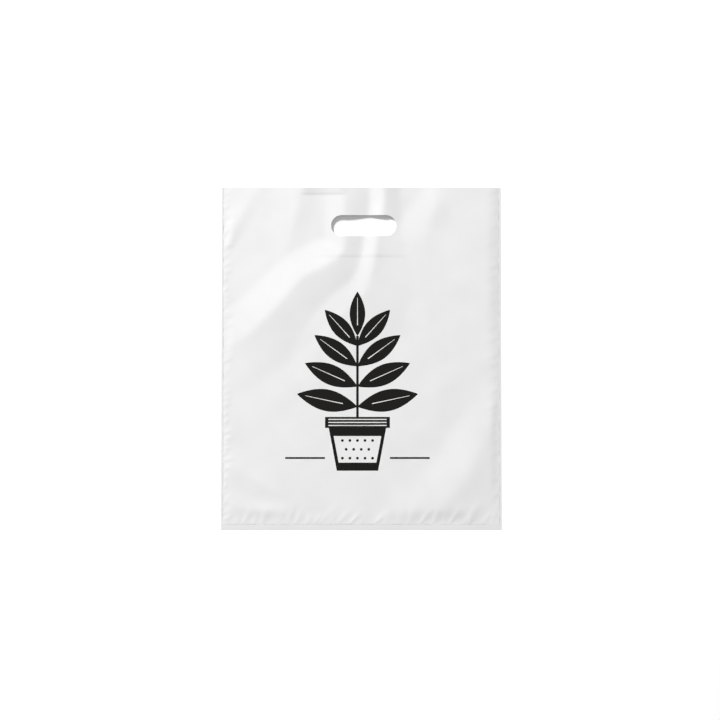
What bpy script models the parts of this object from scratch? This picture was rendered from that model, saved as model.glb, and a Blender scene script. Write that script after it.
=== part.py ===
"""A flat plastic carrier bag with a punched and reinforced handle.

The bag lies on its rear wall, as it does on a counter. X runs across it, +Y runs to its mouth and +Z is up.
The origin is under the middle of the bag, on the surface that it lies on. All sizes are in metres.

The bag is one sheet of film, welded down both sides and across the base, so it is one solid with a thin,
open pocket. Two film patches are glued inside it, one behind each wall, and the handle slot is punched
through all four layers. The front wall stands a little off the rear one, in long soft folds that run from
the handle, and it is gathered along the welds.
"""

import math

import bmesh
import bpy
import numpy as np
from mathutils.geometry import delaunay_2d_cdt

# Bag: a skirt is the welded film outside a weld line
BAG_WIDTH = 0.380
BAG_LENGTH = 0.465
FILM = 0.00006
SIDE_SKIRT = 0.003
BASE_SKIRT = 0.0075

# Handle slot: SLOT_DROP runs from the mouth to the slot's upper edge
SLOT_LENGTH = 0.0887
SLOT_WIDTH = 0.0285
SLOT_DROP = 0.0378
SLOT_SHIFT = 0.0035

# Patches: PATCH_DROP runs from the mouth to their upper edge, and GLUE_GAP is their clearance to the walls
PATCH_WIDTH = 0.1965
PATCH_HEIGHT = 0.085
PATCH_DROP = 0.009
PATCH_FILM = 0.00008
GLUE_GAP = 0.0003

# Air in the bag: LOFT is what the front wall stands off beyond the room for the patches, and the runs are
# how far beside and below the patches that room dies out. Each reach is how far in from a weld the wall
# comes to its height, and each FOLD_REACH is the same for its folds.
LOFT = 0.0005
ROOM_SIDE_RUN = 0.120
ROOM_BASE_RUN = 0.200
LEFT_REACH = 0.130
RIGHT_REACH = 0.010
BASE_REACH = 0.120
FOLD_LEFT_REACH = 0.036
FOLD_RIGHT_REACH = 0.012
FOLD_BASE_REACH = 0.014

# How softly a fold's flank runs out, from 1, straight, to 2
FLANK_RUNOUT = 1.15

# Gathers along the welds: PUCKER_SLANT is how far each leans off square to its weld. Their pitch is even but
# for a slower wave, PUCKER_CYCLE gathers long, which shifts them by up to PUCKER_DRIFT radians of a gather.
PUCKER_HEIGHT = 0.0002
PUCKER_PITCH = 0.016
PUCKER_REACH = 0.016
PUCKER_SLANT = 0.5
PUCKER_CYCLE = 3.7
PUCKER_DRIFT = 1.7

# Spacing of the points that the surfaces are drawn through. WELD_ROWS holds the rows of points beside a weld,
# in weld steps from it, and GRID_CLEAR is how far the even grid keeps from them and the mouth, in wall steps.
WALL_STEP = 0.0110
WELD_STEP = 0.0055
REAR_STEP = 0.0600
WELD_ROWS = (0.8, 2)
GRID_CLEAR = 0.7
ARC_SEGMENTS = 8

# Printed plant, measured from the middle of its pot's foot
PRINT_CENTRE = -0.005
PRINT_BASE = -0.153
POT_HEIGHT = 0.058
POT_FOOT = 0.056
POT_MOUTH = 0.078
RIM_WIDTH = 0.088
RIM_HEIGHT = 0.015
RIM_STRIPES = 3
BAND_LOW = 0.011
BAND_HEIGHT = 0.036
BAND_MARGIN = 0.0045
DOT_RADIUS = 0.0019
DOT_ROWS = 3
DOT_COLUMNS = 5
DOT_SIDES = 6
STEM_HEIGHT = 0.110
STEM_WIDTH = 0.0034
LEAF_LENGTH = 0.084
LEAF_TAPER = 0.07
LEAF_SHAPE = 0.35
LEAF_POINT = 0.9
LEAF_PAIRS = 4
LEAF_LEAN = 78
LEAF_RISE = 12
LEAF_SEGMENTS = 6
VEIN_WIDTH = 0.0012
VEIN_ENDS = (0.24, 0.86)
GROUND_RISE = 0.016
GROUND_LENGTH = 0.196
GROUND_WIDTH = 0.0025

FILM_WHITE = (0.83, 0.83, 0.83, 1.0)
PATCH_WHITE = (0.80, 0.80, 0.80, 1.0)
INK_BLACK = (0.015, 0.014, 0.012, 1.0)

# Each fold: its crest from the upper end to the lower one, in shares of the half width and half length from
# the bag's centre, then its heights and the reaches of its left and right flanks, in metres and spread
# evenly along it. A trough has heights below 0.
FOLDS = (
    # Past the handle's left end to the left weld
    dict(crest=((-0.11, 1.06), (-0.11, 0.84), (-0.115, 0.67), (-0.155, 0.59), (-0.27, 0.52), (-0.41, 0.47),
                (-0.52, 0.375), (-0.64, 0.265), (-0.79, 0.145), (-0.96, 0.04)),
         heights=(0.0015, 0.0017, 0.0020, 0.0020, 0.0020, 0.0017, 0.0006),
         left=(0.028, 0.032, 0.038, 0.040, 0.044, 0.046), right=(0.034, 0.034, 0.044, 0.075, 0.085, 0.085)),
    # The trough below that
    dict(crest=((-0.09, 0.49), (-0.20, 0.38), (-0.34, 0.26), (-0.44, 0.14), (-0.60, -0.03), (-0.78, -0.17)),
         heights=(0.0, -0.0003, -0.0004, -0.0004, -0.0001),
         left=(0.030, 0.030, 0.034), right=(0.030, 0.036, 0.040)),
    # Through the handle
    dict(crest=((0.185, 1.06), (0.175, 0.90), (0.155, 0.72), (0.13, 0.62), (0.10, 0.53), (0.06, 0.45),
                (0.01, 0.38), (-0.08, 0.31), (-0.19, 0.21), (-0.28, 0.07), (-0.36, -0.10)),
         heights=(0.0019, 0.0018, 0.0017, 0.0015, 0.0014, 0.0011, 0.0008, 0.0003),
         left=(0.022, 0.026, 0.031, 0.030, 0.032, 0.034), right=(0.028, 0.030, 0.038, 0.044, 0.050)),
    # Right of the handle
    dict(crest=((0.56, 1.06), (0.55, 0.90), (0.50, 0.76), (0.45, 0.62)),
         heights=(0.0010, 0.0009, 0.0004, 0.0), left=(0.046, 0.044, 0.038), right=(0.026, 0.028, 0.030)),
    # Across the upper left corner
    dict(crest=((-0.78, 1.06), (-0.85, 0.93), (-0.90, 0.82), (-0.95, 0.69), (-1.06, 0.55)),
         heights=(0.0005, 0.0006, 0.0008, 0.0008), left=(0.018, 0.016, 0.014), right=(0.020, 0.018, 0.018)),
    # Left of the handle
    dict(crest=((-0.43, 1.06), (-0.44, 0.92), (-0.48, 0.80), (-0.52, 0.66)),
         heights=(0.0011, 0.0008, 0.0004, 0.0), left=(0.034, 0.034, 0.032), right=(0.024, 0.026, 0.028)),
    # Across the lower right corner
    dict(crest=((1.0, -0.28), (0.84, -0.54), (0.75, -0.71), (0.61, -0.83), (0.45, -0.88), (0.29, -0.92),
                (0.15, -0.97)),
         heights=(0.0004, 0.0012, 0.0015, 0.0013, 0.0008, 0.0004, 0.0),
         left=(0.042, 0.046, 0.048, 0.036), right=(0.034, 0.046, 0.050, 0.044, 0.034)),
    # The trough inside that
    dict(crest=((0.80, -0.20), (0.72, -0.36), (0.59, -0.50), (0.43, -0.65), (0.26, -0.78)),
         heights=(0.0, -0.0002, -0.0003, -0.0002, 0.0), left=(0.036, 0.036), right=(0.026, 0.026)),
    # Across the lower left corner, two in a row
    dict(crest=((-1.06, -0.62), (-0.87, -0.68), (-0.62, -0.78), (-0.51, -0.84)),
         heights=(0.0010, 0.0009, 0.0006, 0.0002), left=(0.024, 0.022), right=(0.048, 0.044)),
    dict(crest=((-1.06, -0.85), (-0.83, -0.885), (-0.67, -0.905), (-0.54, -0.91), (-0.44, -0.94)),
         heights=(0.0010, 0.0008, 0.0007, 0.0004, 0.0), left=(0.016, 0.015), right=(0.018, 0.017)),
)

HALF_WIDTH = BAG_WIDTH / 2
HALF_LENGTH = BAG_LENGTH / 2
WELD_X = HALF_WIDTH - SIDE_SKIRT
WELD_Y = BASE_SKIRT - HALF_LENGTH
PATCH_ROOM = 3 * GLUE_GAP + 2 * PATCH_FILM


def smooth(share):
    share = np.clip(share, 0, 1)
    return share * share * (3 - 2 * share)


def curve_through(knots, per_span=8):
    """Points on a smooth curve through the knots."""
    knots = np.array(knots, float)
    padded = np.concatenate([[2 * knots[0] - knots[1]], knots, [2 * knots[-1] - knots[-2]]])
    t = np.linspace(0, 1, per_span, endpoint=False)[:, None]
    spans = []
    for a, b, c, d in zip(padded, padded[1:], padded[2:], padded[3:]):
        bend = t**2 * (a - 2.5 * b + 2 * c - d / 2) + t**3 * (1.5 * (b - c) + (d - a) / 2)
        spans.append(b + t * (c - a) / 2 + bend)
    return np.concatenate([*spans, knots[-1:]])


def spread(values, share):
    """The value at that share of the way along a list that is spread evenly."""
    return np.interp(share, np.linspace(0, 1, len(values)), values)


def fold_lift(points, fold):
    """How far one fold lifts the wall at each of these points."""
    line = curve_through(fold["crest"]) * (HALF_WIDTH, HALF_LENGTH)
    spans = len(line) - 1
    nearest = np.full(len(points), np.inf)
    lift = np.zeros(len(points))
    for i in range(spans):
        along = line[i + 1] - line[i]
        place = np.clip((points - line[i]) @ along / (along @ along), 0, 1)
        off = points - line[i] - place[:, None] * along
        distance = np.hypot(off[:, 0], off[:, 1])
        closer = distance < nearest
        nearest[closer] = distance[closer]
        share = (i + place[closer]) / spans
        on_left = along[0] * off[closer, 1] < along[1] * off[closer, 0]
        reach = np.where(on_left, spread(fold["left"], share), spread(fold["right"], share))
        flank = np.maximum(1 - distance[closer] / reach, 0) ** FLANK_RUNOUT
        lift[closer] = spread(fold["heights"], share) * flank
    return lift


def patch_room(points):
    """What the patches add between the walls at each of these points."""
    beside = np.abs(points[:, 0] - SLOT_SHIFT) - PATCH_WIDTH / 2
    below = HALF_LENGTH - PATCH_DROP - PATCH_HEIGHT - points[:, 1]
    return PATCH_ROOM * smooth(1 - beside / ROOM_SIDE_RUN) * smooth(1 - below / ROOM_BASE_RUN)


def pucker(along, off):
    """The gathers beside a weld: along is the place on the weld, and off the distance from it."""
    turn = 2 * math.pi * along / PUCKER_PITCH
    wave = 0.5 + 0.5 * np.cos(turn + PUCKER_DRIFT * np.sin(turn / PUCKER_CYCLE))
    share = np.clip(off / PUCKER_REACH, 0, 1)
    bump = 27 / 4 * share * (1 - share) ** 2
    return PUCKER_HEIGHT * wave * bump


def front_gap(points):
    """How far the front wall's inner face stands off the rear one at each of these points, 0 at a weld."""
    x, y = points[:, 0], points[:, 1]
    from_left = np.maximum(x + WELD_X, 0)
    from_right = np.maximum(WELD_X - x, 0)
    from_base = np.maximum(y - WELD_Y, 0)
    rise = 1
    for off, reach in ((from_left, LEFT_REACH), (from_right, RIGHT_REACH), (from_base, BASE_REACH)):
        rise = rise * (1 - (1 - np.clip(off / reach, 0, 1)) ** 2)
    from_side = np.minimum(from_left, from_right)
    gathers = pucker(y - PUCKER_SLANT * x, from_side) * smooth(from_base / PUCKER_REACH)
    gathers += pucker(x - PUCKER_SLANT * y, from_base) * smooth(from_side / PUCKER_REACH)
    fold_rise = smooth(from_left / FOLD_LEFT_REACH) * smooth(from_right / FOLD_RIGHT_REACH)
    folds = fold_rise * smooth(from_base / FOLD_BASE_REACH) * sum(fold_lift(points, fold) for fold in FOLDS)
    return rise * (LOFT + patch_room(points)) + folds + gathers


def spaced(corners, step):
    """Points along the runs between the corners, no further apart than step, with the last corner."""
    found = []
    for a, b in zip(corners, corners[1:]):
        count = max(1, math.ceil(math.dist(a, b) / step - 1e-6))
        found += [(a[0] + (b[0] - a[0]) * i / count, a[1] + (b[1] - a[1]) * i / count) for i in range(count)]
    return found + [corners[-1]]


def mouth_line(step):
    """The mouth from the right weld to the left one."""
    return spaced([(WELD_X, HALF_LENGTH), (-WELD_X, HALF_LENGTH)], step)


def film_outline(step):
    """The bag's edge, with a point where each side weld meets the mouth."""
    corners = [(-HALF_WIDTH, HALF_LENGTH), (-HALF_WIDTH, -HALF_LENGTH), (HALF_WIDTH, -HALF_LENGTH),
               (HALF_WIDTH, HALF_LENGTH)]
    return spaced(corners, step) + mouth_line(step)


def pocket_outline(step, weld_step):
    """The weld line down one side, across the base and up the other, closed by the mouth."""
    corners = [(-WELD_X, HALF_LENGTH), (-WELD_X, WELD_Y), (WELD_X, WELD_Y), (WELD_X, HALF_LENGTH)]
    return spaced(corners, weld_step) + mouth_line(step)[1:-1]


def slot_outline(step):
    """The handle slot, a long hole with round ends."""
    radius = SLOT_WIDTH / 2
    centre = HALF_LENGTH - SLOT_DROP - radius
    reach = SLOT_LENGTH / 2 - radius
    ends = []
    for side in (1, -1):
        turns = [math.pi * (i / ARC_SEGMENTS - 0.5) for i in range(ARC_SEGMENTS + 1)]
        ends.append([(SLOT_SHIFT + side * (reach + radius * math.cos(turn)),
                      centre + side * radius * math.sin(turn)) for turn in turns])
    right, left = ends
    return right + spaced([right[-1], left[0]], step)[1:-1] + left + spaced([left[-1], right[0]], step)[1:-1]


def box(middle, low, width, height):
    """A rectangle: middle is its centre across, and low its lower edge."""
    left, right = middle - width / 2, middle + width / 2
    return [(left, low), (right, low), (right, low + height), (left, low + height)]


def patch_outline(step):
    corners = box(SLOT_SHIFT, HALF_LENGTH - PATCH_DROP - PATCH_HEIGHT, PATCH_WIDTH, PATCH_HEIGHT)
    return spaced([*corners, corners[0]], step)[:-1]


def tapered(low, foot, height, mouth):
    """A field of the pot, wider at its upper edge than at its lower one."""
    return [(PRINT_CENTRE - foot / 2, low), (PRINT_CENTRE + foot / 2, low),
            (PRINT_CENTRE + mouth / 2, low + height), (PRINT_CENTRE - mouth / 2, low + height)]


def pot_width(height):
    return POT_FOOT + (POT_MOUTH - POT_FOOT) * height / POT_HEIGHT


def dot_outlines():
    """Dots in staggered rows on the pot's bare band."""
    found = []
    for row in range(DOT_ROWS):
        height = BAND_LOW + BAND_HEIGHT * (row + 0.5) / DOT_ROWS
        pitch = (pot_width(BAND_LOW) - 2 * BAND_MARGIN) / DOT_COLUMNS
        count = DOT_COLUMNS - row % 2
        for column in range(count):
            x = PRINT_CENTRE + pitch * (column - (count - 1) / 2)
            turns = [2 * math.pi * i / DOT_SIDES for i in range(DOT_SIDES)]
            y = PRINT_BASE + height
            found.append([(x + DOT_RADIUS * math.cos(t), y + DOT_RADIUS * math.sin(t)) for t in turns])
    return found


def leaf_outlines(height, length, lean):
    """A pointed leaf that leans that many degrees from upright, and the bare vein in it."""
    turn = math.radians(lean)
    leaf = []
    for side in (1, -1):
        for i in range(LEAF_SEGMENTS):
            along = i / LEAF_SEGMENTS if side > 0 else 1 - i / LEAF_SEGMENTS
            leaf.append((side * LEAF_SHAPE / 2 * math.sin(math.pi * along) ** LEAF_POINT, along))
    vein = VEIN_WIDTH / length
    foot, tip = VEIN_ENDS
    slit = [(-vein / 2, foot), (vein / 2, foot), (vein / 4, tip), (-vein / 4, tip)]
    return [[(PRINT_CENTRE + length * (across * math.cos(turn) + along * math.sin(turn)),
              height + length * (along * math.cos(turn) - across * math.sin(turn)))
             for across, along in shape] for shape in (leaf, slit)]


def print_outlines():
    """The printed plant: the fields of ink, the bare fields in them, and the dots in one of those."""
    rim_low = PRINT_BASE + POT_HEIGHT
    soil = rim_low + RIM_HEIGHT
    ink = [tapered(PRINT_BASE, POT_FOOT, POT_HEIGHT, POT_MOUTH),
           box(PRINT_CENTRE, rim_low, RIM_WIDTH, RIM_HEIGHT),
           box(PRINT_CENTRE, soil, STEM_WIDTH, STEM_HEIGHT)]
    run = (GROUND_LENGTH - RIM_WIDTH) / 2
    for side in (1, -1):
        middle = PRINT_CENTRE + side * (GROUND_LENGTH - run) / 2
        ink.append(box(middle, PRINT_BASE + GROUND_RISE, run, GROUND_WIDTH))
    bare = [tapered(PRINT_BASE + BAND_LOW, pot_width(BAND_LOW) - 2 * BAND_MARGIN, BAND_HEIGHT,
                    pot_width(BAND_LOW + BAND_HEIGHT) - 2 * BAND_MARGIN)]
    stripe = RIM_HEIGHT / (3 * RIM_STRIPES + 2)
    for i in range(RIM_STRIPES):
        bare.append(box(PRINT_CENTRE, rim_low + stripe * (3 * i + 2), RIM_WIDTH - 2 * BAND_MARGIN, stripe))
    for pair in range(LEAF_PAIRS + 1):
        height = soil + STEM_HEIGHT * min(1, (pair + 0.5) / LEAF_PAIRS)
        length = LEAF_LENGTH * (1 - LEAF_TAPER * pair)
        leans = (0,) if pair == LEAF_PAIRS else (LEAF_LEAN - LEAF_RISE * pair, LEAF_RISE * pair - LEAF_LEAN)
        for lean in leans:
            leaf, vein = leaf_outlines(height, length, lean)
            ink.append(leaf)
            bare.append(vein)
    return ink, bare, dot_outlines()


def grid(left, low, right, high, step):
    columns = max(2, round((right - left) / step) + 1)
    rows = max(2, round((high - low) / step) + 1)
    return [(x, y) for y in np.linspace(low, high, rows) for x in np.linspace(left, right, columns)]


def wall_fill():
    """Points of the front wall: rows beside the welds, where it is gathered, and an even grid inside."""
    found = []
    for row in WELD_ROWS:
        off = WELD_STEP * row
        corners = [(-WELD_X + off, HALF_LENGTH), (-WELD_X + off, WELD_Y + off), (WELD_X - off, WELD_Y + off),
                   (WELD_X - off, HALF_LENGTH)]
        found += [p for p in spaced(corners, WELD_STEP) if p[1] < HALF_LENGTH - WELD_STEP / 2]
    clear = WALL_STEP * GRID_CLEAR
    inner = WELD_STEP * WELD_ROWS[-1] + clear
    return found + grid(inner - WELD_X, inner + WELD_Y, WELD_X - inner, HALF_LENGTH - clear, WALL_STEP)


class Plan:
    """A flat net of triangles that follows outlines. Each triangle knows which of them it lies in."""

    def __init__(self, outlines, fill, clear):
        """outlines maps a name to a list of outlines, and fill holds the points between them.

        A fill point that comes nearer than clear to an outline's point is left out.
        """
        places, index, faces, names = [], {}, [], []
        for name, shapes in outlines.items():
            for shape in shapes:
                for x, y in shape:
                    index.setdefault((round(x * 1e7), round(y * 1e7)), len(index))
                    if len(index) > len(places):
                        places.append((x, y))
                faces.append([index[round(x * 1e7), round(y * 1e7)] for x, y in shape])
                names.append(name)
        drawn = np.array(places)
        places += [tuple(point) for point in fill if np.abs(drawn - point).max(axis=1).min() > clear]
        corners, _, found, _, _, origins = delaunay_2d_cdt(places, [], faces, 0, 1e-6, True)
        self.points = np.array([tuple(corner) for corner in corners], float)
        self.triangles = []
        for face in found:
            a, b, c = self.points[face]
            turned = (b[0] - a[0]) * (c[1] - a[1]) - (b[1] - a[1]) * (c[0] - a[0])
            self.triangles.append(tuple(face) if turned > 0 else tuple(reversed(face)))
        self.within = [{names[i] for i in origin} for origin in origins]

    def part(self, *inside, outside="slot"):
        """The triangles that lie in every outline named inside, and not in the one named outside."""
        pairs = zip(self.triangles, self.within)
        return [t for t, names in pairs if names.issuperset(inside) and outside not in names]


def rim_of(triangles):
    """The edges that only one of the triangles has, each in its triangle's direction."""
    edges = [(t[i], t[(i + 1) % 3]) for t in triangles for i in range(3)]
    shared = set(edges)
    return [(a, b) for a, b in edges if (b, a) not in shared]


class Solid:
    """A mesh built from surfaces at given heights. Corners that share a place are one point."""

    def __init__(self):
        self.mesh = bmesh.new()
        self.made = {}

    def point(self, place, z):
        key = (round(place[0] * 1e6), round(place[1] * 1e6), round(z * 1e7))
        if key not in self.made:
            self.made[key] = self.mesh.verts.new((place[0], place[1], z))
        return self.made[key]

    def surface(self, plan, triangles, z, upwards, inked=()):
        """One face of a wall. z holds a height for each of the plan's points."""
        for t in triangles:
            order = t if upwards else t[::-1]
            face = self.mesh.faces.new([self.point(plan.points[i], z[i]) for i in order])
            face.material_index = int(t in inked)

    def rim(self, plan, edges, *levels):
        """The cut edge from the lowest to the highest of the levels."""
        for a, b in edges:
            up = [self.point(plan.points[b], z[b]) for z in levels]
            down = [self.point(plan.points[a], z[a]) for z in reversed(levels)]
            self.mesh.faces.new(list(dict.fromkeys(up + down)))

    def finish(self, name, *materials):
        data = bpy.data.meshes.new(name)
        for face in self.mesh.faces:
            face.smooth = True
        self.mesh.to_mesh(data)
        self.mesh.free()
        data.set_sharp_from_angle(angle=math.radians(40))
        for material in materials:
            data.materials.append(material)
        made = bpy.data.objects.new(name, data)
        bpy.context.scene.collection.objects.link(made)
        return made


def finish_of(name, colour, roughness):
    """A plain plastic finish."""
    material = bpy.data.materials.new(name)
    material.use_nodes = True
    shader = material.node_tree.nodes["Principled BSDF"]
    shader.inputs["Base Color"].default_value = colour
    shader.inputs["Roughness"].default_value = roughness
    shader.inputs["Metallic"].default_value = 0.0
    material.diffuse_color = colour
    return material


def on_weld(plan, edge):
    """Whether both ends of this edge are on a weld line."""
    return all(abs(abs(x) - WELD_X) < 1e-6 or abs(y - WELD_Y) < 1e-6 for x, y in plan.points[list(edge)])


def build_film(front, rear, film, ink):
    """The bag itself: both walls, joined outside the welds, with the pocket between and the slot cut."""
    gap = front_gap(front.points)
    front_out, front_in = 2 * FILM + gap, FILM + gap
    rear_in, rear_out = np.full(len(rear.points), FILM), np.zeros(len(rear.points))
    inked = set(front.part("ink", outside="bare") + front.part("dot"))
    bag = Solid()
    bag.surface(front, front.part("film"), front_out, True, inked)
    bag.surface(front, front.part("pocket"), front_in, False)
    bag.surface(rear, rear.part("pocket"), rear_in, True)
    bag.surface(rear, rear.part("film"), rear_out, False)
    open_front = [edge for edge in rim_of(front.part("pocket")) if not on_weld(front, edge)]
    open_rear = [edge for edge in rim_of(rear.part("pocket")) if not on_weld(rear, edge)]
    bag.rim(front, open_front, front_in, front_out)
    bag.rim(rear, open_rear, rear_out, rear_in)
    top = np.full(len(rear.points), 2 * FILM)
    corner = (abs(abs(rear.points[:, 0]) - WELD_X) < 1e-6) & (abs(rear.points[:, 1] - HALF_LENGTH) < 1e-6)
    middle = np.where(corner, rear_in, rear_out)
    skirt = set(rim_of(rear.part("film"))) - set(open_rear)
    bag.rim(rear, sorted(skirt), rear_out, middle, top)
    return bag.finish("bag_film", film, ink)


def build_patch(name, plan, low, material):
    """A reinforcing patch, with its lower face at the heights in low."""
    sheet = plan.part("patch")
    patch = Solid()
    patch.surface(plan, sheet, low + PATCH_FILM, True)
    patch.surface(plan, sheet, low, False)
    patch.rim(plan, rim_of(sheet), low, low + PATCH_FILM)
    return patch.finish(name, material)


def main():
    for old in list(bpy.data.objects):
        bpy.data.objects.remove(old)
    film = finish_of("white_film", FILM_WHITE, 0.38)
    ink = finish_of("black_ink", INK_BLACK, 0.45)
    patch_film = finish_of("patch_film", PATCH_WHITE, 0.42)

    cuts = {"film": [film_outline(2 * WALL_STEP)], "pocket": [pocket_outline(2 * WALL_STEP, WELD_STEP)],
            "slot": [slot_outline(WALL_STEP)], "patch": [patch_outline(WALL_STEP)]}
    printed = dict(zip(("ink", "bare", "dot"), print_outlines()))
    front = Plan({**cuts, **printed}, wall_fill(), WELD_STEP / 2)
    rear = Plan(cuts, grid(-WELD_X, WELD_Y, WELD_X, HALF_LENGTH, REAR_STEP), REAR_STEP / 3)

    build_film(front, rear, film, ink)
    build_patch("front_patch", front, FILM + front_gap(front.points) - GLUE_GAP - PATCH_FILM, patch_film)
    build_patch("rear_patch", rear, np.full(len(rear.points), FILM + GLUE_GAP), patch_film)


main()
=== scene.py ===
"""Looks of the plastic carrier bag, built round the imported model.

The bag is drawn again as fine closed film: the front wall stands off the rear one in long soft folds
that run from the handle, and it is gathered along the welds. The print is a second material on the front
wall's own faces. All sizes are in metres, apart from those of the folds, the gathers and WELD_ROWS, which
are in millimetres.
"""

import math

import bmesh
import bpy
import numpy as np
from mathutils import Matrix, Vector
from mathutils.geometry import delaunay_2d_cdt


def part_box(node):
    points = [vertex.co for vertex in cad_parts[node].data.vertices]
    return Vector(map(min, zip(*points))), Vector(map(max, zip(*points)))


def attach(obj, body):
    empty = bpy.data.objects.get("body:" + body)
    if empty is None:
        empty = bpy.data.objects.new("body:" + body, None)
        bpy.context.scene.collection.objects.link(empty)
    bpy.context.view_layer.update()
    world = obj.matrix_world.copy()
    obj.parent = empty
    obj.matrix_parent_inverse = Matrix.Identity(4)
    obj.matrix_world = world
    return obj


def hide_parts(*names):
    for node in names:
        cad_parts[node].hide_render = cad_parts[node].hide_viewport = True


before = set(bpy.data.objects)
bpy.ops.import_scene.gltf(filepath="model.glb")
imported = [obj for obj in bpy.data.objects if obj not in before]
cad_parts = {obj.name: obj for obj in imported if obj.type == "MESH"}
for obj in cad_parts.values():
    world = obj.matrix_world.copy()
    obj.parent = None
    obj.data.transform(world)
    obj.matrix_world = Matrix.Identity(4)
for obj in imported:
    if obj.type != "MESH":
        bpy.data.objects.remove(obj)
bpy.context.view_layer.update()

MM = 0.001

# Bag, measured from the frame, with the sizes that the frame's boxes don't give
LOW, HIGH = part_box("bag_film")
HALF_WIDTH = (HIGH[0] - LOW[0]) / 2
HALF_LENGTH = (HIGH[1] - LOW[1]) / 2
FILM = 0.00006
SIDE_SKIRT = 0.003
BASE_SKIRT = 0.0075
WELD_X = HALF_WIDTH - SIDE_SKIRT
WELD_Y = BASE_SKIRT - HALF_LENGTH

# Patches: both have the same outline, from the front one's box
PATCH_LOW, PATCH_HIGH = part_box("front_patch")
PATCH_FILM = 0.00008
GLUE_GAP = 0.0003

# Handle slot, centred across on the patches
SLOT_LENGTH = 0.0887
SLOT_WIDTH = 0.0285
SLOT_DROP = 0.0378
SLOT_X = (PATCH_LOW[0] + PATCH_HIGH[0]) / 2
SLOT_Y = HALF_LENGTH - SLOT_DROP - SLOT_WIDTH / 2

# Air in the bag: LOFT is how high the front wall stands without its folds. Each REACH is how far in from a
# weld it gets there, and each FOLD REACH is the same for the folds. ROOM is what the patches add between the
# walls, and each RUN is how far from the patches that dies out.
LOFT = 0.0004
LEFT_REACH = 0.160
RIGHT_REACH = 0.018
BASE_REACH = 0.120
FOLD_LEFT_REACH = 0.014
FOLD_RIGHT_REACH = 0.012
FOLD_BASE_REACH = 0.020
ROOM = 3 * GLUE_GAP + 2 * PATCH_FILM
ROOM_SIDE_RUN = 0.150
ROOM_BASE_RUN = 0.280

# The folds are worked out on a grid of this step, which goes past the bag's edges by this margin
RELIEF_STEP = 0.0015
RELIEF_MARGIN = 0.012

# Spacing of the points that the surfaces are drawn through. WELD_ROWS holds each row's distance from the
# weld, and a row's points lie further apart by its distance over ROW_SPREAD. A CLEAR is how far the grid's
# points stay from an outline's.
WALL_STEP = 0.0034
EDGE_STEP = 0.0017
REAR_STEP = 0.030
WELD_ROWS = (0.5, 1.1, 1.9, 2.9, 4.1, 5.6, 7.4, 9.6, 12.2, 15.2)
ROW_SPREAD = 12
FRONT_CLEAR = EDGE_STEP / 4
REAR_CLEAR = REAR_STEP / 3
SEAL_WIDTH = 0.0007
ARC_SEGMENTS = 20
TOUCH = 1e-6
SMOOTH_ANGLE = 40

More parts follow.
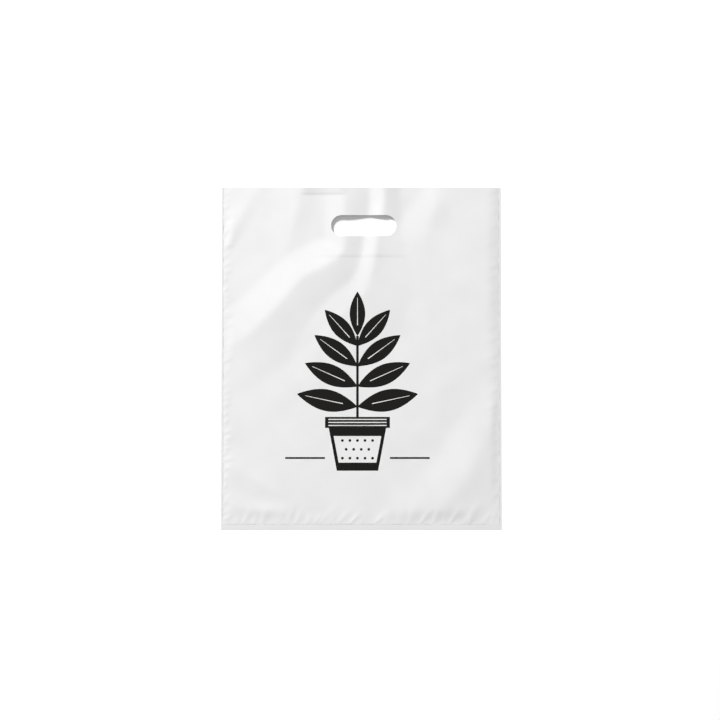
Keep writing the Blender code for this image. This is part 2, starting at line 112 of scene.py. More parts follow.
# Each fold: its crest from the upper end to the lower one, in shares of the half width and half length from
# the bag's centre, then its heights and the reaches of its left and right flanks, in millimetres and spread
# evenly along it. A trough has heights below 0. foot is how softly a flank runs out, from 1, straight, to
# 2, and soft is the width of the bell that rounds the fold, in millimetres.
FOLDS = (
    # Past the handle's left end to the left weld
    dict(crest=((-0.12, 1.06), (-0.12, 0.84), (-0.12, 0.67), (-0.155, 0.60), (-0.27, 0.535),
                (-0.41, 0.475), (-0.52, 0.38), (-0.64, 0.27), (-0.79, 0.15), (-0.96, 0.05)),
         heights=(1.3, 1.5, 1.8, 1.8, 1.8, 1.5, 0.3), left=(26, 28, 38, 38, 44, 46),
         right=(50, 50, 60, 68, 66, 60), foot=1.1, soft=2.2),
    # The trough right of that and below it
    dict(crest=((0.06, 1.06), (0.055, 0.90), (0.025, 0.74), (0.003, 0.62), (-0.02, 0.53), (-0.09, 0.44),
                (-0.20, 0.37), (-0.34, 0.26), (-0.44, 0.14), (-0.60, -0.03), (-0.78, -0.17)),
         heights=(-0.5, -0.6, -0.6, -0.5, -0.3, -0.25, -0.2, -0.15, 0.0), left=(22, 22, 26, 32, 32, 34),
         right=(19, 17, 17, 22, 30, 36, 40), foot=1.1, soft=2.2),
    # Through the handle
    dict(crest=((0.165, 1.06), (0.165, 0.92), (0.155, 0.84), (0.125, 0.72), (0.105, 0.60), (0.085, 0.51),
                (0.05, 0.42), (-0.01, 0.355), (-0.09, 0.30), (-0.19, 0.20), (-0.28, 0.07), (-0.36, -0.10)),
         heights=(1.4, 1.4, 1.4, 1.4, 1.2, 0.9, 0.6, 0.2), left=(20, 18, 19, 23, 26, 30, 34),
         right=(22, 22, 30, 46, 60, 70, 70, 70, 70), foot=1.0, soft=2.0),
    # The trough right of that, up to the mouth
    dict(crest=((0.50, 1.06), (0.42, 0.95), (0.33, 0.87), (0.28, 0.80), (0.26, 0.70)),
         heights=(-0.4, -0.45, -0.5, -0.45, 0.0), left=(50, 44, 30, 22), right=(27, 32, 42, 40),
         foot=1.1, soft=3),
    # Right of the handle
    dict(crest=((0.56, 1.06), (0.55, 0.94), (0.51, 0.84), (0.47, 0.72), (0.44, 0.62)),
         heights=(0.35, 0.45, 0.5, 0.3, 0.0), left=(27, 34, 40, 36), right=(24, 22, 24, 30),
         foot=1.2, soft=3),
    # Across the upper left corner
    dict(crest=((-0.68, 1.06), (-0.80, 0.92), (-0.875, 0.82), (-0.925, 0.74), (-1.0, 0.655),
                (-1.10, 0.58)),
         heights=(0.3, 0.4, 0.55, 0.65, 0.6, 0.4), left=(40, 36, 34), right=(17, 14, 13),
         foot=1.1, soft=2.8),
    # Left of the handle
    dict(crest=((-0.43, 1.06), (-0.44, 0.92), (-0.48, 0.80), (-0.52, 0.66)),
         heights=(0.9, 0.7, 0.55, 0.3), left=(34, 34, 32), right=(24, 24, 24), foot=1.2, soft=2.5),
    # Across the lower right corner
    dict(crest=((1.0, -0.28), (0.84, -0.54), (0.75, -0.71), (0.61, -0.83), (0.45, -0.88), (0.29, -0.92),
                (0.15, -0.97)),
         heights=(0.3, 0.9, 1.3, 1.2, 0.6, 0.3, 0.0), left=(42, 46, 50, 36),
         right=(34, 50, 60, 46, 34), foot=1.1, soft=5),
    # The trough inside that
    dict(crest=((0.80, -0.20), (0.72, -0.36), (0.59, -0.50), (0.43, -0.65), (0.26, -0.78)),
         heights=(0.0, -0.25, -0.35, -0.25, 0.0), left=(36, 36), right=(26, 26), foot=1.2, soft=5),
    # Across the lower left corner, two in a row
    dict(crest=((-1.06, -0.62), (-0.87, -0.67), (-0.62, -0.77), (-0.51, -0.83)),
         heights=(0.0, 0.5, 0.5, 0.2), left=(24, 22), right=(36, 40), foot=1.3, soft=3),
    dict(crest=((-1.06, -0.84), (-0.83, -0.875), (-0.67, -0.895), (-0.54, -0.90), (-0.44, -0.93)),
         heights=(0.2, 0.4, 0.6, 0.3, 0.0), left=(20, 16), right=(18, 17), foot=1.2, soft=3),
)

# Mouth: left of the handle its lip lifts off the patch, by LIP_STEP at the patch's upper edge and then
# evenly by LIP_LIFT up to the mouth. LIP_FADE is the run over which that dies out at both ends.
LIP_X = -0.052
LIP_LENGTH = 0.068
LIP_FADE = 0.012
LIP_STEP = 0.00012
LIP_LIFT = 0.00040

# The patches' side and lower edges show through the front wall as a step. It comes and goes along them in
# waves of STEP_FADE, which slant by STEP_SLANT. STEP_SEEN is its mean share, and STEP_SWING how far that
# swings.
STEP_WIDTH = 0.0014
STEP_FADE = 0.21
STEP_SLANT = 0.6
STEP_SEEN = 0.5
STEP_SWING = 0.75

# Gathers along each weld: the random seed, their pitch, reach and height, and how far each one runs along
# the weld as it goes in. GATHER_PEAK brings the highest value of share * (1 - share)**2 to 1.
LEFT_GATHERS = dict(seed=3, pitch=9, reach=13, height=0.14, lean=0.35)
RIGHT_GATHERS = dict(seed=5, pitch=14, reach=18, height=0.09, lean=-0.4)
BASE_GATHERS = dict(seed=8, pitch=13, reach=30, height=0.20, lean=0.60)
GATHER_PEAK = 27 / 4

# Broad unevenness of the wall: the random seed, the number of waves, their shortest and longest lengths,
# and the shortest one's height in millimetres
SWELL_SEED = 11
SWELL_WAVES = 26
SWELL_LENGTHS = (0.030, 0.110)
SWELL_HEIGHT = 0.035

# Camera: where the bag's centre is in the photograph, and the real size of one of its pixels
FRAME_PIXELS = 720
CENTRE_PIXEL = (361.15, 358.05)
PIXEL = 0.0013586
ELEVATION = 87
LENS = 150
SENSOR = 36

# Film: the part of a noise's range that it mostly lies in, and the fine grain's scale, depth and strength
NOISE_RANGE = (0.3, 0.7)
GRAIN_SCALE = 900
GRAIN_DEPTH = 0.00003
GRAIN_STRENGTH = 0.25

# Floor: half its size, its grey for the light, and the glow that makes it white for the camera. FLOOR_DROP
# keeps it clear of the bag.
FLOOR_REACH = 8
FLOOR_LEVEL = 0.80
FLOOR_GLOW = 0.12
FLOOR_DROP = 0.00002

# Light: the key's share of the level at which a white surface is just white, its direction and its size
KEY_SHARE = 0.72
KEY_TURN = 54
KEY_ELEVATION = 18
KEY_DISTANCE = 10
KEY_SIZE = 1.6


def smooth(share):
    share = np.clip(share, 0, 1)
    return share * share * (3 - 2 * share)


def curve_through(knots, per_span=8):
    """Points on a smooth curve through the knots."""
    knots = np.array(knots, float)
    padded = np.concatenate([[2 * knots[0] - knots[1]], knots, [2 * knots[-1] - knots[-2]]])
    t = np.linspace(0, 1, per_span, endpoint=False)[:, None]
    spans = []
    for a, b, c, d in zip(padded, padded[1:], padded[2:], padded[3:]):
        bend = t**2 * (a - 2.5 * b + 2 * c - d / 2) + t**3 * (1.5 * (b - c) + (d - a) / 2)
        spans.append(b + t * (c - a) / 2 + bend)
    return np.concatenate([*spans, knots[-1:]])


def spread(values, share):
    """The value at that share of the way along a list that is spread evenly."""
    return np.interp(share, np.linspace(0, 1, len(values)), values)


def fold_lift(points, fold):
    """How far one fold lifts the wall at each of these points."""
    line = curve_through(fold["crest"]) * (HALF_WIDTH, HALF_LENGTH)
    spans = len(line) - 1
    nearest = np.full(len(points), np.inf)
    lift = np.zeros(len(points))
    for i in range(spans):
        along = line[i + 1] - line[i]
        place = np.clip((points - line[i]) @ along / (along @ along), 0, 1)
        off = points - line[i] - place[:, None] * along
        distance = np.hypot(off[:, 0], off[:, 1])
        closer = distance < nearest
        nearest[closer] = distance[closer]
        share = (i + place[closer]) / spans
        on_left = along[0] * off[closer, 1] < along[1] * off[closer, 0]
        reach = np.where(on_left, spread(fold["left"], share), spread(fold["right"], share)) * MM
        flank = np.maximum(1 - distance[closer] / reach, 0) ** fold["foot"]
        lift[closer] = spread(fold["heights"], share) * MM * flank
    return lift


def blurred(field, softness):
    """The field smoothed by a bell of that width in millimetres."""
    width = softness * MM / RELIEF_STEP
    span = np.arange(-math.ceil(3 * width), math.ceil(3 * width) + 1)
    bell = np.exp(-0.5 * (span / width) ** 2)
    bell /= bell.sum()
    for axis in (0, 1):
        margin = [(len(span) // 2,) * 2 if side == axis else (0, 0) for side in (0, 1)]
        padded = np.pad(field, margin, mode="edge")
        field = np.apply_along_axis(np.convolve, axis, padded, bell, mode="valid")
    return field


def swell(x, y):
    """A broad, low unevenness, from waves of random length and direction."""
    rng = np.random.default_rng(SWELL_SEED)
    total = np.zeros_like(x)
    for _ in range(SWELL_WAVES):
        turn = rng.uniform(0, math.pi)
        length = rng.uniform(*SWELL_LENGTHS)
        phase = rng.uniform(0, 2 * math.pi)
        height = SWELL_HEIGHT * MM * length / SWELL_LENGTHS[0]
        total += height * np.sin(2 * math.pi * (x * math.cos(turn) + y * math.sin(turn)) / length + phase)
    return total / math.sqrt(SWELL_WAVES)


class Relief:
    """The folds of the front wall on an even grid, read between its points."""

    def __init__(self):
        self.xs = np.arange(-HALF_WIDTH - RELIEF_MARGIN, HALF_WIDTH + RELIEF_MARGIN, RELIEF_STEP)
        self.ys = np.arange(-HALF_LENGTH - RELIEF_MARGIN, HALF_LENGTH + RELIEF_MARGIN, RELIEF_STEP)
        x, y = np.meshgrid(self.xs, self.ys)
        points = np.stack([x.ravel(), y.ravel()], axis=1)
        self.field = swell(x, y)
        for fold in FOLDS:
            self.field = self.field + blurred(fold_lift(points, fold).reshape(x.shape), fold["soft"])

    def at(self, points):
        u = (points[:, 0] - self.xs[0]) / RELIEF_STEP
        v = (points[:, 1] - self.ys[0]) / RELIEF_STEP
        i = np.clip(u.astype(int), 0, len(self.xs) - 2)
        j = np.clip(v.astype(int), 0, len(self.ys) - 2)
        u, v = u - i, v - j
        low = self.field[j, i] * (1 - u) + self.field[j, i + 1] * u
        high = self.field[j + 1, i] * (1 - u) + self.field[j + 1, i + 1] * u
        return low * (1 - v) + high * v


def puckers(along, off, seed, pitch, reach, height, lean):
    """Gathers of random size beside a weld: along is the place on the weld, and off the distance from it.

    Each one is wider further in, and its side towards lower values of along is the steeper one.
    """
    rng = np.random.default_rng(seed)
    total = np.zeros(len(along))
    place = -HALF_LENGTH
    while place < HALF_LENGTH:
        place += pitch * MM * rng.uniform(0.45, 1.6)
        long = reach * MM * rng.uniform(0.5, 1.5)
        wide = pitch * MM * rng.uniform(0.18, 0.36)
        tall = height * MM * rng.uniform(0.25, 1.3)
        turn = lean * rng.uniform(0.2, 1.5)
        share = np.clip(off / long, 0, 1)
        across = (along - place - turn * off) / (wide * (0.7 + 0.8 * share))
        across = across / np.where(across < 0, 0.7, 1.8)
        total += tall * np.exp(-(across**2)) * GATHER_PEAK * share * (1 - share) ** 2
    return total


def patch_room(points):
    """What the patches add between the walls at each of these points."""
    beside = np.abs(points[:, 0] - SLOT_X) - (PATCH_HIGH[0] - PATCH_LOW[0]) / 2
    below = PATCH_LOW[1] - points[:, 1]
    return ROOM * smooth(1 - beside / ROOM_SIDE_RUN) * smooth(1 - below / ROOM_BASE_RUN)


def patch_step(points):
    """How far the patches' side and lower edges press the front wall up at each of these points."""
    x, y = points[:, 0], points[:, 1]
    inside = np.minimum.reduce([x - PATCH_LOW[0], PATCH_HIGH[0] - x, y - PATCH_LOW[1]])
    place = x - SLOT_X + STEP_SLANT * (y - PATCH_LOW[1])
    seen = smooth(STEP_SEEN + STEP_SWING * np.cos(2 * math.pi * place / STEP_FADE))
    return PATCH_FILM * seen * smooth(inside / STEP_WIDTH + 0.5)


def lip(points):
    """How far the mouth's lip lifts at each of these points."""
    lifted = smooth((LIP_LENGTH / 2 - np.abs(points[:, 0] - LIP_X)) / LIP_FADE)
    above = points[:, 1] - PATCH_HIGH[1]
    rise = np.clip(above / (HALF_LENGTH - PATCH_HIGH[1]), 0, 1)
    return lifted * (LIP_STEP * smooth(above / STEP_WIDTH + 0.5) + LIP_LIFT * rise)


def front_gap(points, relief):
    """How far apart the walls' inner faces are at each of these points: 0 at a weld."""
    x, y = points[:, 0], points[:, 1]
    from_left = np.maximum(x + WELD_X, 0)
    from_right = np.maximum(WELD_X - x, 0)
    from_base = np.maximum(y - WELD_Y, 0)
    rise = 1
    for off, reach in ((from_left, LEFT_REACH), (from_right, RIGHT_REACH), (from_base, BASE_REACH)):
        rise = rise * (1 - (1 - np.clip(off / reach, 0, 1)) ** 2)
    fold_rise = smooth(from_left / FOLD_LEFT_REACH) * smooth(from_right / FOLD_RIGHT_REACH)
    fold_rise = fold_rise * smooth(from_base / FOLD_BASE_REACH)
    clear_of_base = smooth(from_base / FOLD_RIGHT_REACH)
    clear_of_sides = smooth(np.minimum(from_left, from_right) / FOLD_RIGHT_REACH)
    gathers = puckers(y, from_left, **LEFT_GATHERS) * clear_of_base
    gathers += puckers(y, from_right, **RIGHT_GATHERS) * clear_of_base
    gathers += puckers(x, from_base, **BASE_GATHERS) * clear_of_sides
    folds = fold_rise * (relief.at(points) + lip(points))
    return rise * (LOFT + patch_room(points)) + folds + patch_step(points) + gathers


def spaced(corners, step):
    """Points no further apart than step along the straight runs from the first corner to the last."""
    found = []
    for a, b in zip(corners, corners[1:]):
        count = max(1, math.ceil(math.dist(a, b) / step - TOUCH))
        across, up = b[0] - a[0], b[1] - a[1]
        found += [(a[0] + across * i / count, a[1] + up * i / count) for i in range(count)]
    return found + [corners[-1]]


def mouth_line(step):
    """The mouth from the right weld to the left one."""
    return spaced([(WELD_X, HALF_LENGTH), (-WELD_X, HALF_LENGTH)], step)


def film_outline(step):
    """The bag's edge, with points where each side's weld meets the mouth."""
    seal = WELD_X + SEAL_WIDTH
    corners = [(-seal, HALF_LENGTH), (-HALF_WIDTH, HALF_LENGTH), (-HALF_WIDTH, -HALF_LENGTH),
               (HALF_WIDTH, -HALF_LENGTH), (HALF_WIDTH, HALF_LENGTH), (seal, HALF_LENGTH)]
    return spaced(corners, step) + mouth_line(step)


def pocket_outline(step):
    """The weld line down one side, across the base and up the other, closed by the mouth."""
    corners = [(-WELD_X, HALF_LENGTH), (-WELD_X, WELD_Y), (WELD_X, WELD_Y), (WELD_X, HALF_LENGTH)]
    return spaced(corners, step) + mouth_line(step)[1:-1]


def seal_outline(step):
    """The outer edge of the weld's melted line, closed by the mouth."""
    x, y = WELD_X + SEAL_WIDTH, WELD_Y - SEAL_WIDTH
    return spaced([(-x, HALF_LENGTH), (-x, y), (x, y), (x, HALF_LENGTH)], step) + mouth_line(step)


def slot_outline(step):
    """The handle slot, a long hole with round ends."""
    radius = SLOT_WIDTH / 2
    reach = SLOT_LENGTH / 2 - radius
    ends = []
    for side in (1, -1):
        turns = [math.pi * (i / ARC_SEGMENTS - 0.5) for i in range(ARC_SEGMENTS + 1)]
        ends.append([(SLOT_X + side * (reach + radius * math.cos(turn)),
                      SLOT_Y + side * radius * math.sin(turn)) for turn in turns])
    right, left = ends
    upper = spaced([right[-1], left[0]], step)[1:-1]
    lower = spaced([left[-1], right[0]], step)[1:-1]
    return right + upper + left + lower


def patch_outline(step, margin=0):
    """The patches' outline, or the rectangle that lies outside it by the margin."""
    left, low = PATCH_LOW[0] - margin, PATCH_LOW[1] - margin
    right, high = PATCH_HIGH[0] + margin, PATCH_HIGH[1] + margin
    return spaced([(left, low), (right, low), (right, high), (left, high), (left, low)], step)[:-1]


def grid(left, low, right, high, step):
    columns = max(2, round((right - left) / step) + 1)
    rows = max(2, round((high - low) / step) + 1)
    return [(x, y) for y in np.linspace(low, high, rows) for x in np.linspace(left, right, columns)]


def wall_fill():
    """Points of the front wall: along the patches' step, in rows beside the welds, and in a grid inside."""
    found = patch_outline(EDGE_STEP, STEP_WIDTH / 2) + patch_outline(EDGE_STEP, -STEP_WIDTH / 2)
    for off in WELD_ROWS:
        x, y = WELD_X - off * MM, WELD_Y + off * MM
        corners = [(-x, HALF_LENGTH), (-x, y), (x, y), (x, HALF_LENGTH)]
        row = spaced(corners, EDGE_STEP + off * MM / ROW_SPREAD)
        found += [place for place in row if place[1] < HALF_LENGTH - EDGE_STEP / 2]
    inner = WELD_ROWS[-1] * MM + WALL_STEP
    left, low = -WELD_X + inner, WELD_Y + inner
    return found + grid(left, low, -left, HALF_LENGTH - WALL_STEP / 2, WALL_STEP)


class Plan:
    """A flat net of triangles that follows outlines. Each triangle knows which outlines it lies in."""

    def __init__(self, outlines, fill, clear):
        """outlines maps a name to a list of outlines, and fill holds the points between them.

        A fill point that comes nearer than clear to an outline's point is left out.
        """
        places, index, faces, names = [], {}, [], []
        for name, shapes in outlines.items():
            for shape in shapes:
                for x, y in shape:
                    index.setdefault((round(x * 1e7), round(y * 1e7)), len(index))
                    if len(index) > len(places):
                        places.append((x, y))
                faces.append([index[round(x * 1e7), round(y * 1e7)] for x, y in shape])
                names.append(name)
        drawn = np.array(places)
        places += [tuple(point) for point in fill if np.abs(drawn - point).max(axis=1).min() > clear]
        corners, _, found, _, _, origins = delaunay_2d_cdt(places, [], faces, 0, 1e-7, True)
        self.points = np.array([tuple(corner) for corner in corners], float)
        self.triangles = []
        for face in found:
            a, b, c = self.points[face]
            turned = (b[0] - a[0]) * (c[1] - a[1]) - (b[1] - a[1]) * (c[0] - a[0])
            self.triangles.append(tuple(face) if turned > 0 else tuple(reversed(face)))
        self.within = [{names[i] for i in origin} for origin in origins]

    def part(self, *inside, outside="slot"):
        """The triangles that lie in every outline named inside, and not in the one named outside."""
        pairs = zip(self.triangles, self.within)
        return [t for t, names in pairs if names.issuperset(inside) and outside not in names]


def rim_of(triangles):
    """The edges that only one of the triangles has, each in its triangle's direction."""
    edges = [(t[i], t[(i + 1) % 3]) for t in triangles for i in range(3)]
    shared = set(edges)
    return [(a, b) for a, b in edges if (b, a) not in shared]


class Solid:
    """A mesh built from surfaces at given heights. Corners that share a place are one point."""

    def __init__(self):
        self.mesh = bmesh.new()
        self.made = {}

    def point(self, place, z):
        key = (round(place[0] * 1e6), round(place[1] * 1e6), round(z * 1e7))
        if key not in self.made:
            self.made[key] = self.mesh.verts.new((place[0], place[1], z))
        return self.made[key]

    def surface(self, plan, triangles, z, upwards, *marked):
        """One face of a wall. z holds a height for each of the plan's points.

        Each set in marked holds the triangles of one more material, in the order of the materials.
        """
        for t in triangles:
            order = t if upwards else t[::-1]
            face = self.mesh.faces.new([self.point(plan.points[i], z[i]) for i in order])
            for index, triangles_marked in enumerate(marked, 1):
                if t in triangles_marked:
                    face.material_index = index

    def rim(self, plan, edges, *levels):
        """The cut edge from the lowest to the highest of the levels."""
        for a, b in edges:
            up = [self.point(plan.points[b], z[b]) for z in levels]
            down = [self.point(plan.points[a], z[a]) for z in reversed(levels)]
            self.mesh.faces.new(list(dict.fromkeys(up + down)))

    def finish(self, name, *materials):
        data = bpy.data.meshes.new(name)
        for face in self.mesh.faces:
            face.smooth = True
        self.mesh.to_mesh(data)
        self.mesh.free()
        data.set_sharp_from_angle(angle=math.radians(SMOOTH_ANGLE))
        for material in materials:
            data.materials.append(material)
        made = bpy.data.objects.new(name, data)
        bpy.context.scene.collection.objects.link(made)
        return made


def on_weld(plan, edge):
    """Whether both ends of this edge are on a weld line."""
    ends = plan.points[list(edge)]
    return all(abs(abs(x) - WELD_X) < TOUCH or abs(y - WELD_Y) < TOUCH for x, y in ends)


def build_film(front, rear, gap, *materials):
    """The bag itself: two walls joined outside the welds, with the pocket between them and the slot cut."""
    front_out, front_in = 2 * FILM + gap, FILM + gap
    rear_in, rear_out = np.full(len(rear.points), FILM), np.zeros(len(rear.points))
    inked = set(front.part("ink", outside="bare") + front.part("dot"))
    # The skirt outside the welds takes a darker copy of the white film: painted shade.
    shaded_skirt = set(front.part("film", outside="pocket"))
    # The weld's strip takes a darker, strongly mottled grey: partly the pressed weld's own greyer film,
    # partly painted shade of the groove along it.
    sealed_and_shaded = set(front.part("seal", outside="pocket"))
    bag = Solid()
    bag.surface(front, front.part("film"), front_out, True, inked, shaded_skirt, sealed_and_shaded)
    bag.surface(front, front.part("pocket"), front_in, False)
    bag.surface(rear, rear.part("pocket"), rear_in, True)
    bag.surface(rear, rear.part("film"), rear_out, False)
    open_front = [edge for edge in rim_of(front.part("pocket")) if not on_weld(front, edge)]
    open_rear = [edge for edge in rim_of(rear.part("pocket")) if not on_weld(rear, edge)]
    bag.rim(front, open_front, front_in, front_out)
    bag.rim(rear, open_rear, rear_out, rear_in)
    top = np.full(len(rear.points), 2 * FILM)
    x, y = rear.points.T
    corner = (abs(abs(x) - WELD_X) < TOUCH) & (abs(y - HALF_LENGTH) < TOUCH)
    middle = np.where(corner, rear_in, rear_out)
    edge = set(rim_of(rear.part("film"))) - set(open_rear)
    bag.rim(rear, sorted(edge), rear_out, middle, top)
    return bag.finish("carrier_bag", *materials)


def build_patch(name, plan, low, material):
    """A reinforcing patch, with its lower face at the heights in low."""
    sheet = plan.part("patch")
    patch = Solid()
    patch.surface(plan, sheet, low + PATCH_FILM, True)
    patch.surface(plan, sheet, low, False)
    patch.rim(plan, rim_of(sheet), low, low + PATCH_FILM)
    return patch.finish(name, material)


# Printed plant, measured from the middle of its pot's foot
PRINT_CENTRE = -0.005
PRINT_BASE = -0.153
POT_HEIGHT = 0.058
POT_FOOT = 0.056
POT_MOUTH = 0.078
RIM_WIDTH = 0.088
RIM_HEIGHT = 0.015
RIM_STRIPES = 3
BAND_LOW = 0.011
BAND_HEIGHT = 0.036
BAND_MARGIN = 0.0045
DOT_RADIUS = 0.0019
DOT_ROWS = 3
DOT_COLUMNS = 5
DOT_SIDES = 14
STEM_HEIGHT = 0.110
STEM_WIDTH = 0.0034
LEAF_LENGTH = 0.084
LEAF_TAPER = 0.07
LEAF_SHAPE = 0.35
LEAF_POINT = 0.9
LEAF_PAIRS = 4
LEAF_LEAN = 78
LEAF_RISE = 12
LEAF_SEGMENTS = 30
VEIN_WIDTH = 0.0012
VEIN_ENDS = (0.24, 0.86)
GROUND_RISE = 0.016
GROUND_LENGTH = 0.196
GROUND_WIDTH = 0.0025


def box(middle, low, width, height):
    """A rectangle: middle is its centre across, and low its lower edge."""
    left, right = middle - width / 2, middle + width / 2
    return [(left, low), (right, low), (right, low + height), (left, low + height)]


def tapered(low, foot, height, mouth):
    """A field of the pot, wider at its upper edge than at its lower one."""
    return [(PRINT_CENTRE - foot / 2, low), (PRINT_CENTRE + foot / 2, low),
            (PRINT_CENTRE + mouth / 2, low + height), (PRINT_CENTRE - mouth / 2, low + height)]


def pot_width(height):
    return POT_FOOT + (POT_MOUTH - POT_FOOT) * height / POT_HEIGHT


def dot_outlines():
    """Dots in staggered rows on the pot's bare band."""
    found = []
    for row in range(DOT_ROWS):
        height = BAND_LOW + BAND_HEIGHT * (row + 0.5) / DOT_ROWS
        pitch = (pot_width(BAND_LOW) - 2 * BAND_MARGIN) / DOT_COLUMNS
        count = DOT_COLUMNS - row % 2
        for column in range(count):
            x = PRINT_CENTRE + pitch * (column - (count - 1) / 2)
            turns = [2 * math.pi * i / DOT_SIDES for i in range(DOT_SIDES)]
            y = PRINT_BASE + height
            found.append([(x + DOT_RADIUS * math.cos(t), y + DOT_RADIUS * math.sin(t)) for t in turns])
    return found


def leaf_outlines(height, length, lean):
    """A pointed leaf that leans that many degrees from upright, and the bare vein in it."""
    turn = math.radians(lean)
    leaf = []
    for side in (1, -1):
        for i in range(LEAF_SEGMENTS):
            along = i / LEAF_SEGMENTS if side > 0 else 1 - i / LEAF_SEGMENTS
            leaf.append((side * LEAF_SHAPE / 2 * math.sin(math.pi * along) ** LEAF_POINT, along))
    vein = VEIN_WIDTH / length
    near, far = VEIN_ENDS
    slit = [(-vein / 2, near), (vein / 2, near), (vein / 4, far), (-vein / 4, far)]
    return [[(PRINT_CENTRE + length * (across * math.cos(turn) + along * math.sin(turn)),
              height + length * (along * math.cos(turn) - across * math.sin(turn)))
             for across, along in shape] for shape in (leaf, slit)]


def print_outlines():
    """The printed plant: the fields of ink, the bare fields in them, and the dots in one of those."""
    rim_low = PRINT_BASE + POT_HEIGHT
    soil = rim_low + RIM_HEIGHT
    ink = [tapered(PRINT_BASE, POT_FOOT, POT_HEIGHT, POT_MOUTH),
           box(PRINT_CENTRE, rim_low, RIM_WIDTH, RIM_HEIGHT),
           box(PRINT_CENTRE, soil, STEM_WIDTH, STEM_HEIGHT)]
    run = (GROUND_LENGTH - RIM_WIDTH) / 2
    for side in (1, -1):
        middle = PRINT_CENTRE + side * (GROUND_LENGTH - run) / 2
        ink.append(box(middle, PRINT_BASE + GROUND_RISE, run, GROUND_WIDTH))
    band_foot = pot_width(BAND_LOW) - 2 * BAND_MARGIN
    band_mouth = pot_width(BAND_LOW + BAND_HEIGHT) - 2 * BAND_MARGIN
    bare = [tapered(PRINT_BASE + BAND_LOW, band_foot, BAND_HEIGHT, band_mouth)]
    stripe = RIM_HEIGHT / (3 * RIM_STRIPES + 2)
    for i in range(RIM_STRIPES):
        bare.append(box(PRINT_CENTRE, rim_low + stripe * (3 * i + 2), RIM_WIDTH - 2 * BAND_MARGIN, stripe))
    for pair in range(LEAF_PAIRS + 1):
        height = soil + STEM_HEIGHT * min(1, (pair + 0.5) / LEAF_PAIRS)
        length = LEAF_LENGTH * (1 - LEAF_TAPER * pair)
        lean_out = LEAF_LEAN - LEAF_RISE * pair
        for lean in (0,) if pair == LEAF_PAIRS else (lean_out, -lean_out):
            leaf, vein = leaf_outlines(height, length, lean)
            ink.append(leaf)
            bare.append(vein)
    return ink, bare, dot_outlines()


def new_material(name, colour, roughness, specular=0.5):
    """A material with its Principled shader's plain values set."""
    material = bpy.data.materials.new(name)
    material.use_nodes = True
    shader = material.node_tree.nodes["Principled BSDF"]
    shader.inputs["Base Color"].default_value = (*colour, 1)
    shader.inputs["Roughness"].default_value = roughness
    shader.inputs["Specular IOR Level"].default_value = specular
    material.diffuse_color = (*colour, 1)
    return material, material.node_tree, shader


def film_material(name, colour, roughness, specular=0.5, mottle=0.015, scale=28):
    """Satin polyethylene film: an even white with a faint mottle and a fine grain."""
    material, tree, shader = new_material(name, colour, roughness, specular)
    nodes, links = tree.nodes, tree.links
    place = nodes.new("ShaderNodeTexCoord")
    cloud = nodes.new("ShaderNodeTexNoise")
    cloud.inputs["Scale"].default_value = scale
    cloud.inputs["Detail"].default_value = 3
    links.new(place.outputs["Object"], cloud.inputs["Vector"])
    ramp = nodes.new("ShaderNodeMapRange")
    ramp.inputs["From Min"].default_value = NOISE_RANGE[0]
    ramp.inputs["From Max"].default_value = NOISE_RANGE[1]
    ramp.inputs["To Min"].default_value = 1 - mottle
    ramp.inputs["To Max"].default_value = 1 + mottle
    links.new(cloud.outputs["Fac"], ramp.inputs["Value"])
    tint = nodes.new("ShaderNodeVectorMath")
    tint.operation = "SCALE"
    tint.inputs[0].default_value = colour
    links.new(ramp.outputs["Result"], tint.inputs["Scale"])
    links.new(tint.outputs["Vector"], shader.inputs["Base Color"])
    grain = nodes.new("ShaderNodeTexNoise")
    grain.inputs["Scale"].default_value = GRAIN_SCALE
    grain.inputs["Detail"].default_value = 2
    links.new(place.outputs["Object"], grain.inputs["Vector"])
    bump = nodes.new("ShaderNodeBump")
    bump.inputs["Strength"].default_value = GRAIN_STRENGTH
    bump.inputs["Distance"].default_value = GRAIN_DEPTH
    links.new(grain.outputs["Fac"], bump.inputs["Height"])
    links.new(bump.outputs["Normal"], shader.inputs["Normal"])
    return material


def build_bag():
    """The bag and its patches, each in place of its own node."""
    relief = Relief()
    cuts = {"film": [film_outline(EDGE_STEP)], "seal": [seal_outline(EDGE_STEP)],
            "pocket": [pocket_outline(EDGE_STEP)], "slot": [slot_outline(EDGE_STEP)],
            "patch": [patch_outline(WALL_STEP)]}
    printed = dict(zip(("ink", "bare", "dot"), print_outlines()))
    front = Plan({**cuts, **printed}, wall_fill(), FRONT_CLEAR)
    rear = Plan(cuts, grid(-WELD_X, WELD_Y, WELD_X, HALF_LENGTH, REAR_STEP), REAR_CLEAR)
    gap = front_gap(front.points, relief)

    white = film_material("white_film", (0.86, 0.86, 0.86), roughness=0.42)
    black = film_material("black_ink", (0.0075, 0.0070, 0.0062), roughness=0.5, specular=0.22)
    patch_white = film_material("patch_film", (0.80, 0.80, 0.80), roughness=0.45)
    # Weld line: a darker, strongly mottled grey, partly the pressed weld's own greyer film and partly
    # painted shade of the groove.
    seal = film_material("weld_line_with_painted_shade", (0.70, 0.70, 0.70), roughness=0.35, mottle=0.30, scale=70)
    # Skirt outside the welds: the same film as the walls, made darker as painted shade.
    shaded_skirt = film_material("skirt_film_painted_shade", (0.82, 0.82, 0.82), roughness=0.42)
    bag = build_film(front, rear, gap, white, black, shaded_skirt, seal)
    front_low = FILM + gap - GLUE_GAP - PATCH_FILM
    rear_low = np.full(len(rear.points), FILM + GLUE_GAP)
    front_patch = build_patch("front_reinforcement", front, front_low, patch_white)
    rear_patch = build_patch("rear_reinforcement", rear, rear_low, patch_white)
    for piece, node, slot in ((bag, "bag_film", "film"), (front_patch, "front_patch", "patch_film"),
                              (rear_patch, "rear_patch", "patch_film")):
        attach(piece, "root")
        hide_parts(node)


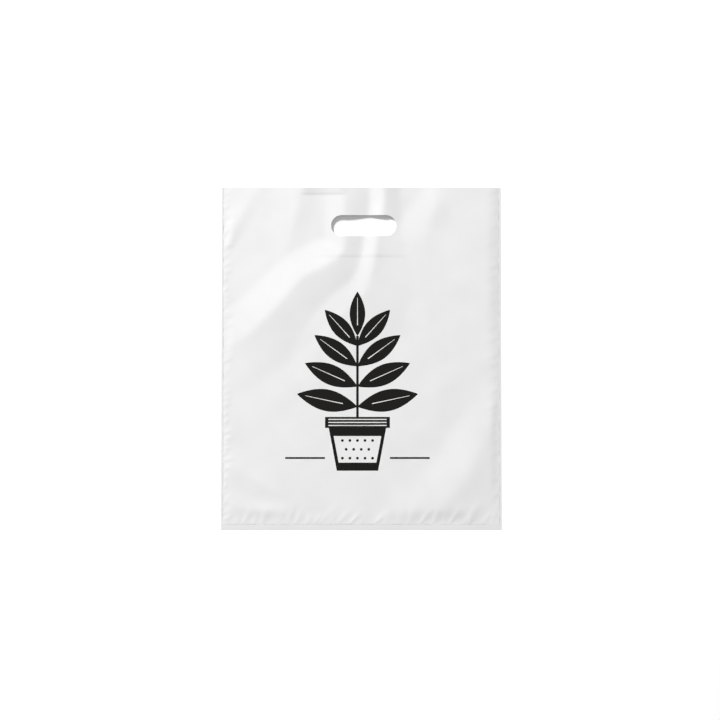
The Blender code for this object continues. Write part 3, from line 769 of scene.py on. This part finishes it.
def build_stage():
    """A white floor that keeps the bag's shadow."""
    data = bpy.data.meshes.new("floor")
    corners = [(x * FLOOR_REACH, y * FLOOR_REACH, 0) for x, y in ((-1, -1), (1, -1), (1, 1), (-1, 1))]
    data.from_pydata(corners, [], [(0, 1, 2, 3)])
    floor = bpy.data.objects.new("floor", data)
    floor.location.z = -FLOOR_DROP
    bpy.context.scene.collection.objects.link(floor)
    material, tree, shader = new_material("floor_white", (FLOOR_LEVEL,) * 3, roughness=0.9, specular=0)
    path = tree.nodes.new("ShaderNodeLightPath")
    seen = tree.nodes.new("ShaderNodeMix")
    seen.data_type = "RGBA"
    seen.inputs["A"].default_value = (*(FLOOR_LEVEL,) * 3, 1)
    seen.inputs["B"].default_value = (1, 1, 1, 1)
    tree.links.new(path.outputs["Is Camera Ray"], seen.inputs["Factor"])
    tree.links.new(seen.outputs["Result"], shader.inputs["Base Color"])
    shader.inputs["Emission Color"].default_value = (1, 1, 1, 1)
    glow = tree.nodes.new("ShaderNodeMath")
    glow.operation = "MULTIPLY"
    glow.inputs[1].default_value = FLOOR_GLOW
    tree.links.new(path.outputs["Is Camera Ray"], glow.inputs[0])
    tree.links.new(glow.outputs["Value"], shader.inputs["Emission Strength"])
    data.materials.append(material)


def build_light():
    """A soft key from the upper left, and an even fill from the world."""
    turn, rise = math.radians(KEY_TURN), math.radians(KEY_ELEVATION)
    towards = Vector((-math.cos(turn) * math.cos(rise), math.sin(turn) * math.cos(rise), math.sin(rise)))
    lamp = bpy.data.lights.new("key", "AREA")
    lamp.shape = "DISK"
    lamp.size = KEY_SIZE
    # At a share of 1, this energy lights a white floor at that distance to just white
    lamp.energy = KEY_SHARE * math.pi**2 * KEY_DISTANCE**2 / math.sin(rise)
    key = bpy.data.objects.new("key", lamp)
    key.location = towards * KEY_DISTANCE
    key.rotation_euler = towards.to_track_quat("Z", "Y").to_euler()
    bpy.context.scene.collection.objects.link(key)

    world = bpy.data.worlds.new("studio")
    world.use_nodes = True
    bpy.context.scene.world = world
    tree = world.node_tree
    background = tree.nodes["Background"]
    background.inputs["Color"].default_value = (1, 1, 1, 1)
    path = tree.nodes.new("ShaderNodeLightPath")
    level = tree.nodes.new("ShaderNodeMapRange")
    level.inputs["To Min"].default_value = 1 - KEY_SHARE
    level.inputs["To Max"].default_value = 1
    tree.links.new(path.outputs["Is Camera Ray"], level.inputs["Value"])
    tree.links.new(level.outputs["Result"], background.inputs["Strength"])


def build_camera():
    """A long lens over the bag, a little towards its base."""
    lens = bpy.data.cameras.new("camera")
    lens.lens = LENS
    lens.sensor_width = SENSOR
    camera = bpy.data.objects.new("camera", lens)
    bpy.context.scene.collection.objects.link(camera)
    rise = math.radians(ELEVATION)
    away = Vector((0, -math.cos(rise), math.sin(rise)))
    distance = FRAME_PIXELS * PIXEL * LENS / SENSOR
    across = (FRAME_PIXELS / 2 - CENTRE_PIXEL[0]) * PIXEL
    up = (CENTRE_PIXEL[1] - FRAME_PIXELS / 2) * PIXEL
    target = Vector((across, up, 0))
    camera.location = target + away * distance
    camera.rotation_euler = away.to_track_quat("Z", "Y").to_euler()
    lens.clip_end = distance * 4
    bpy.context.scene.camera = camera


build_bag()
build_stage()
build_light()
build_camera()
bpy.context.scene.view_settings.view_transform = "Standard"
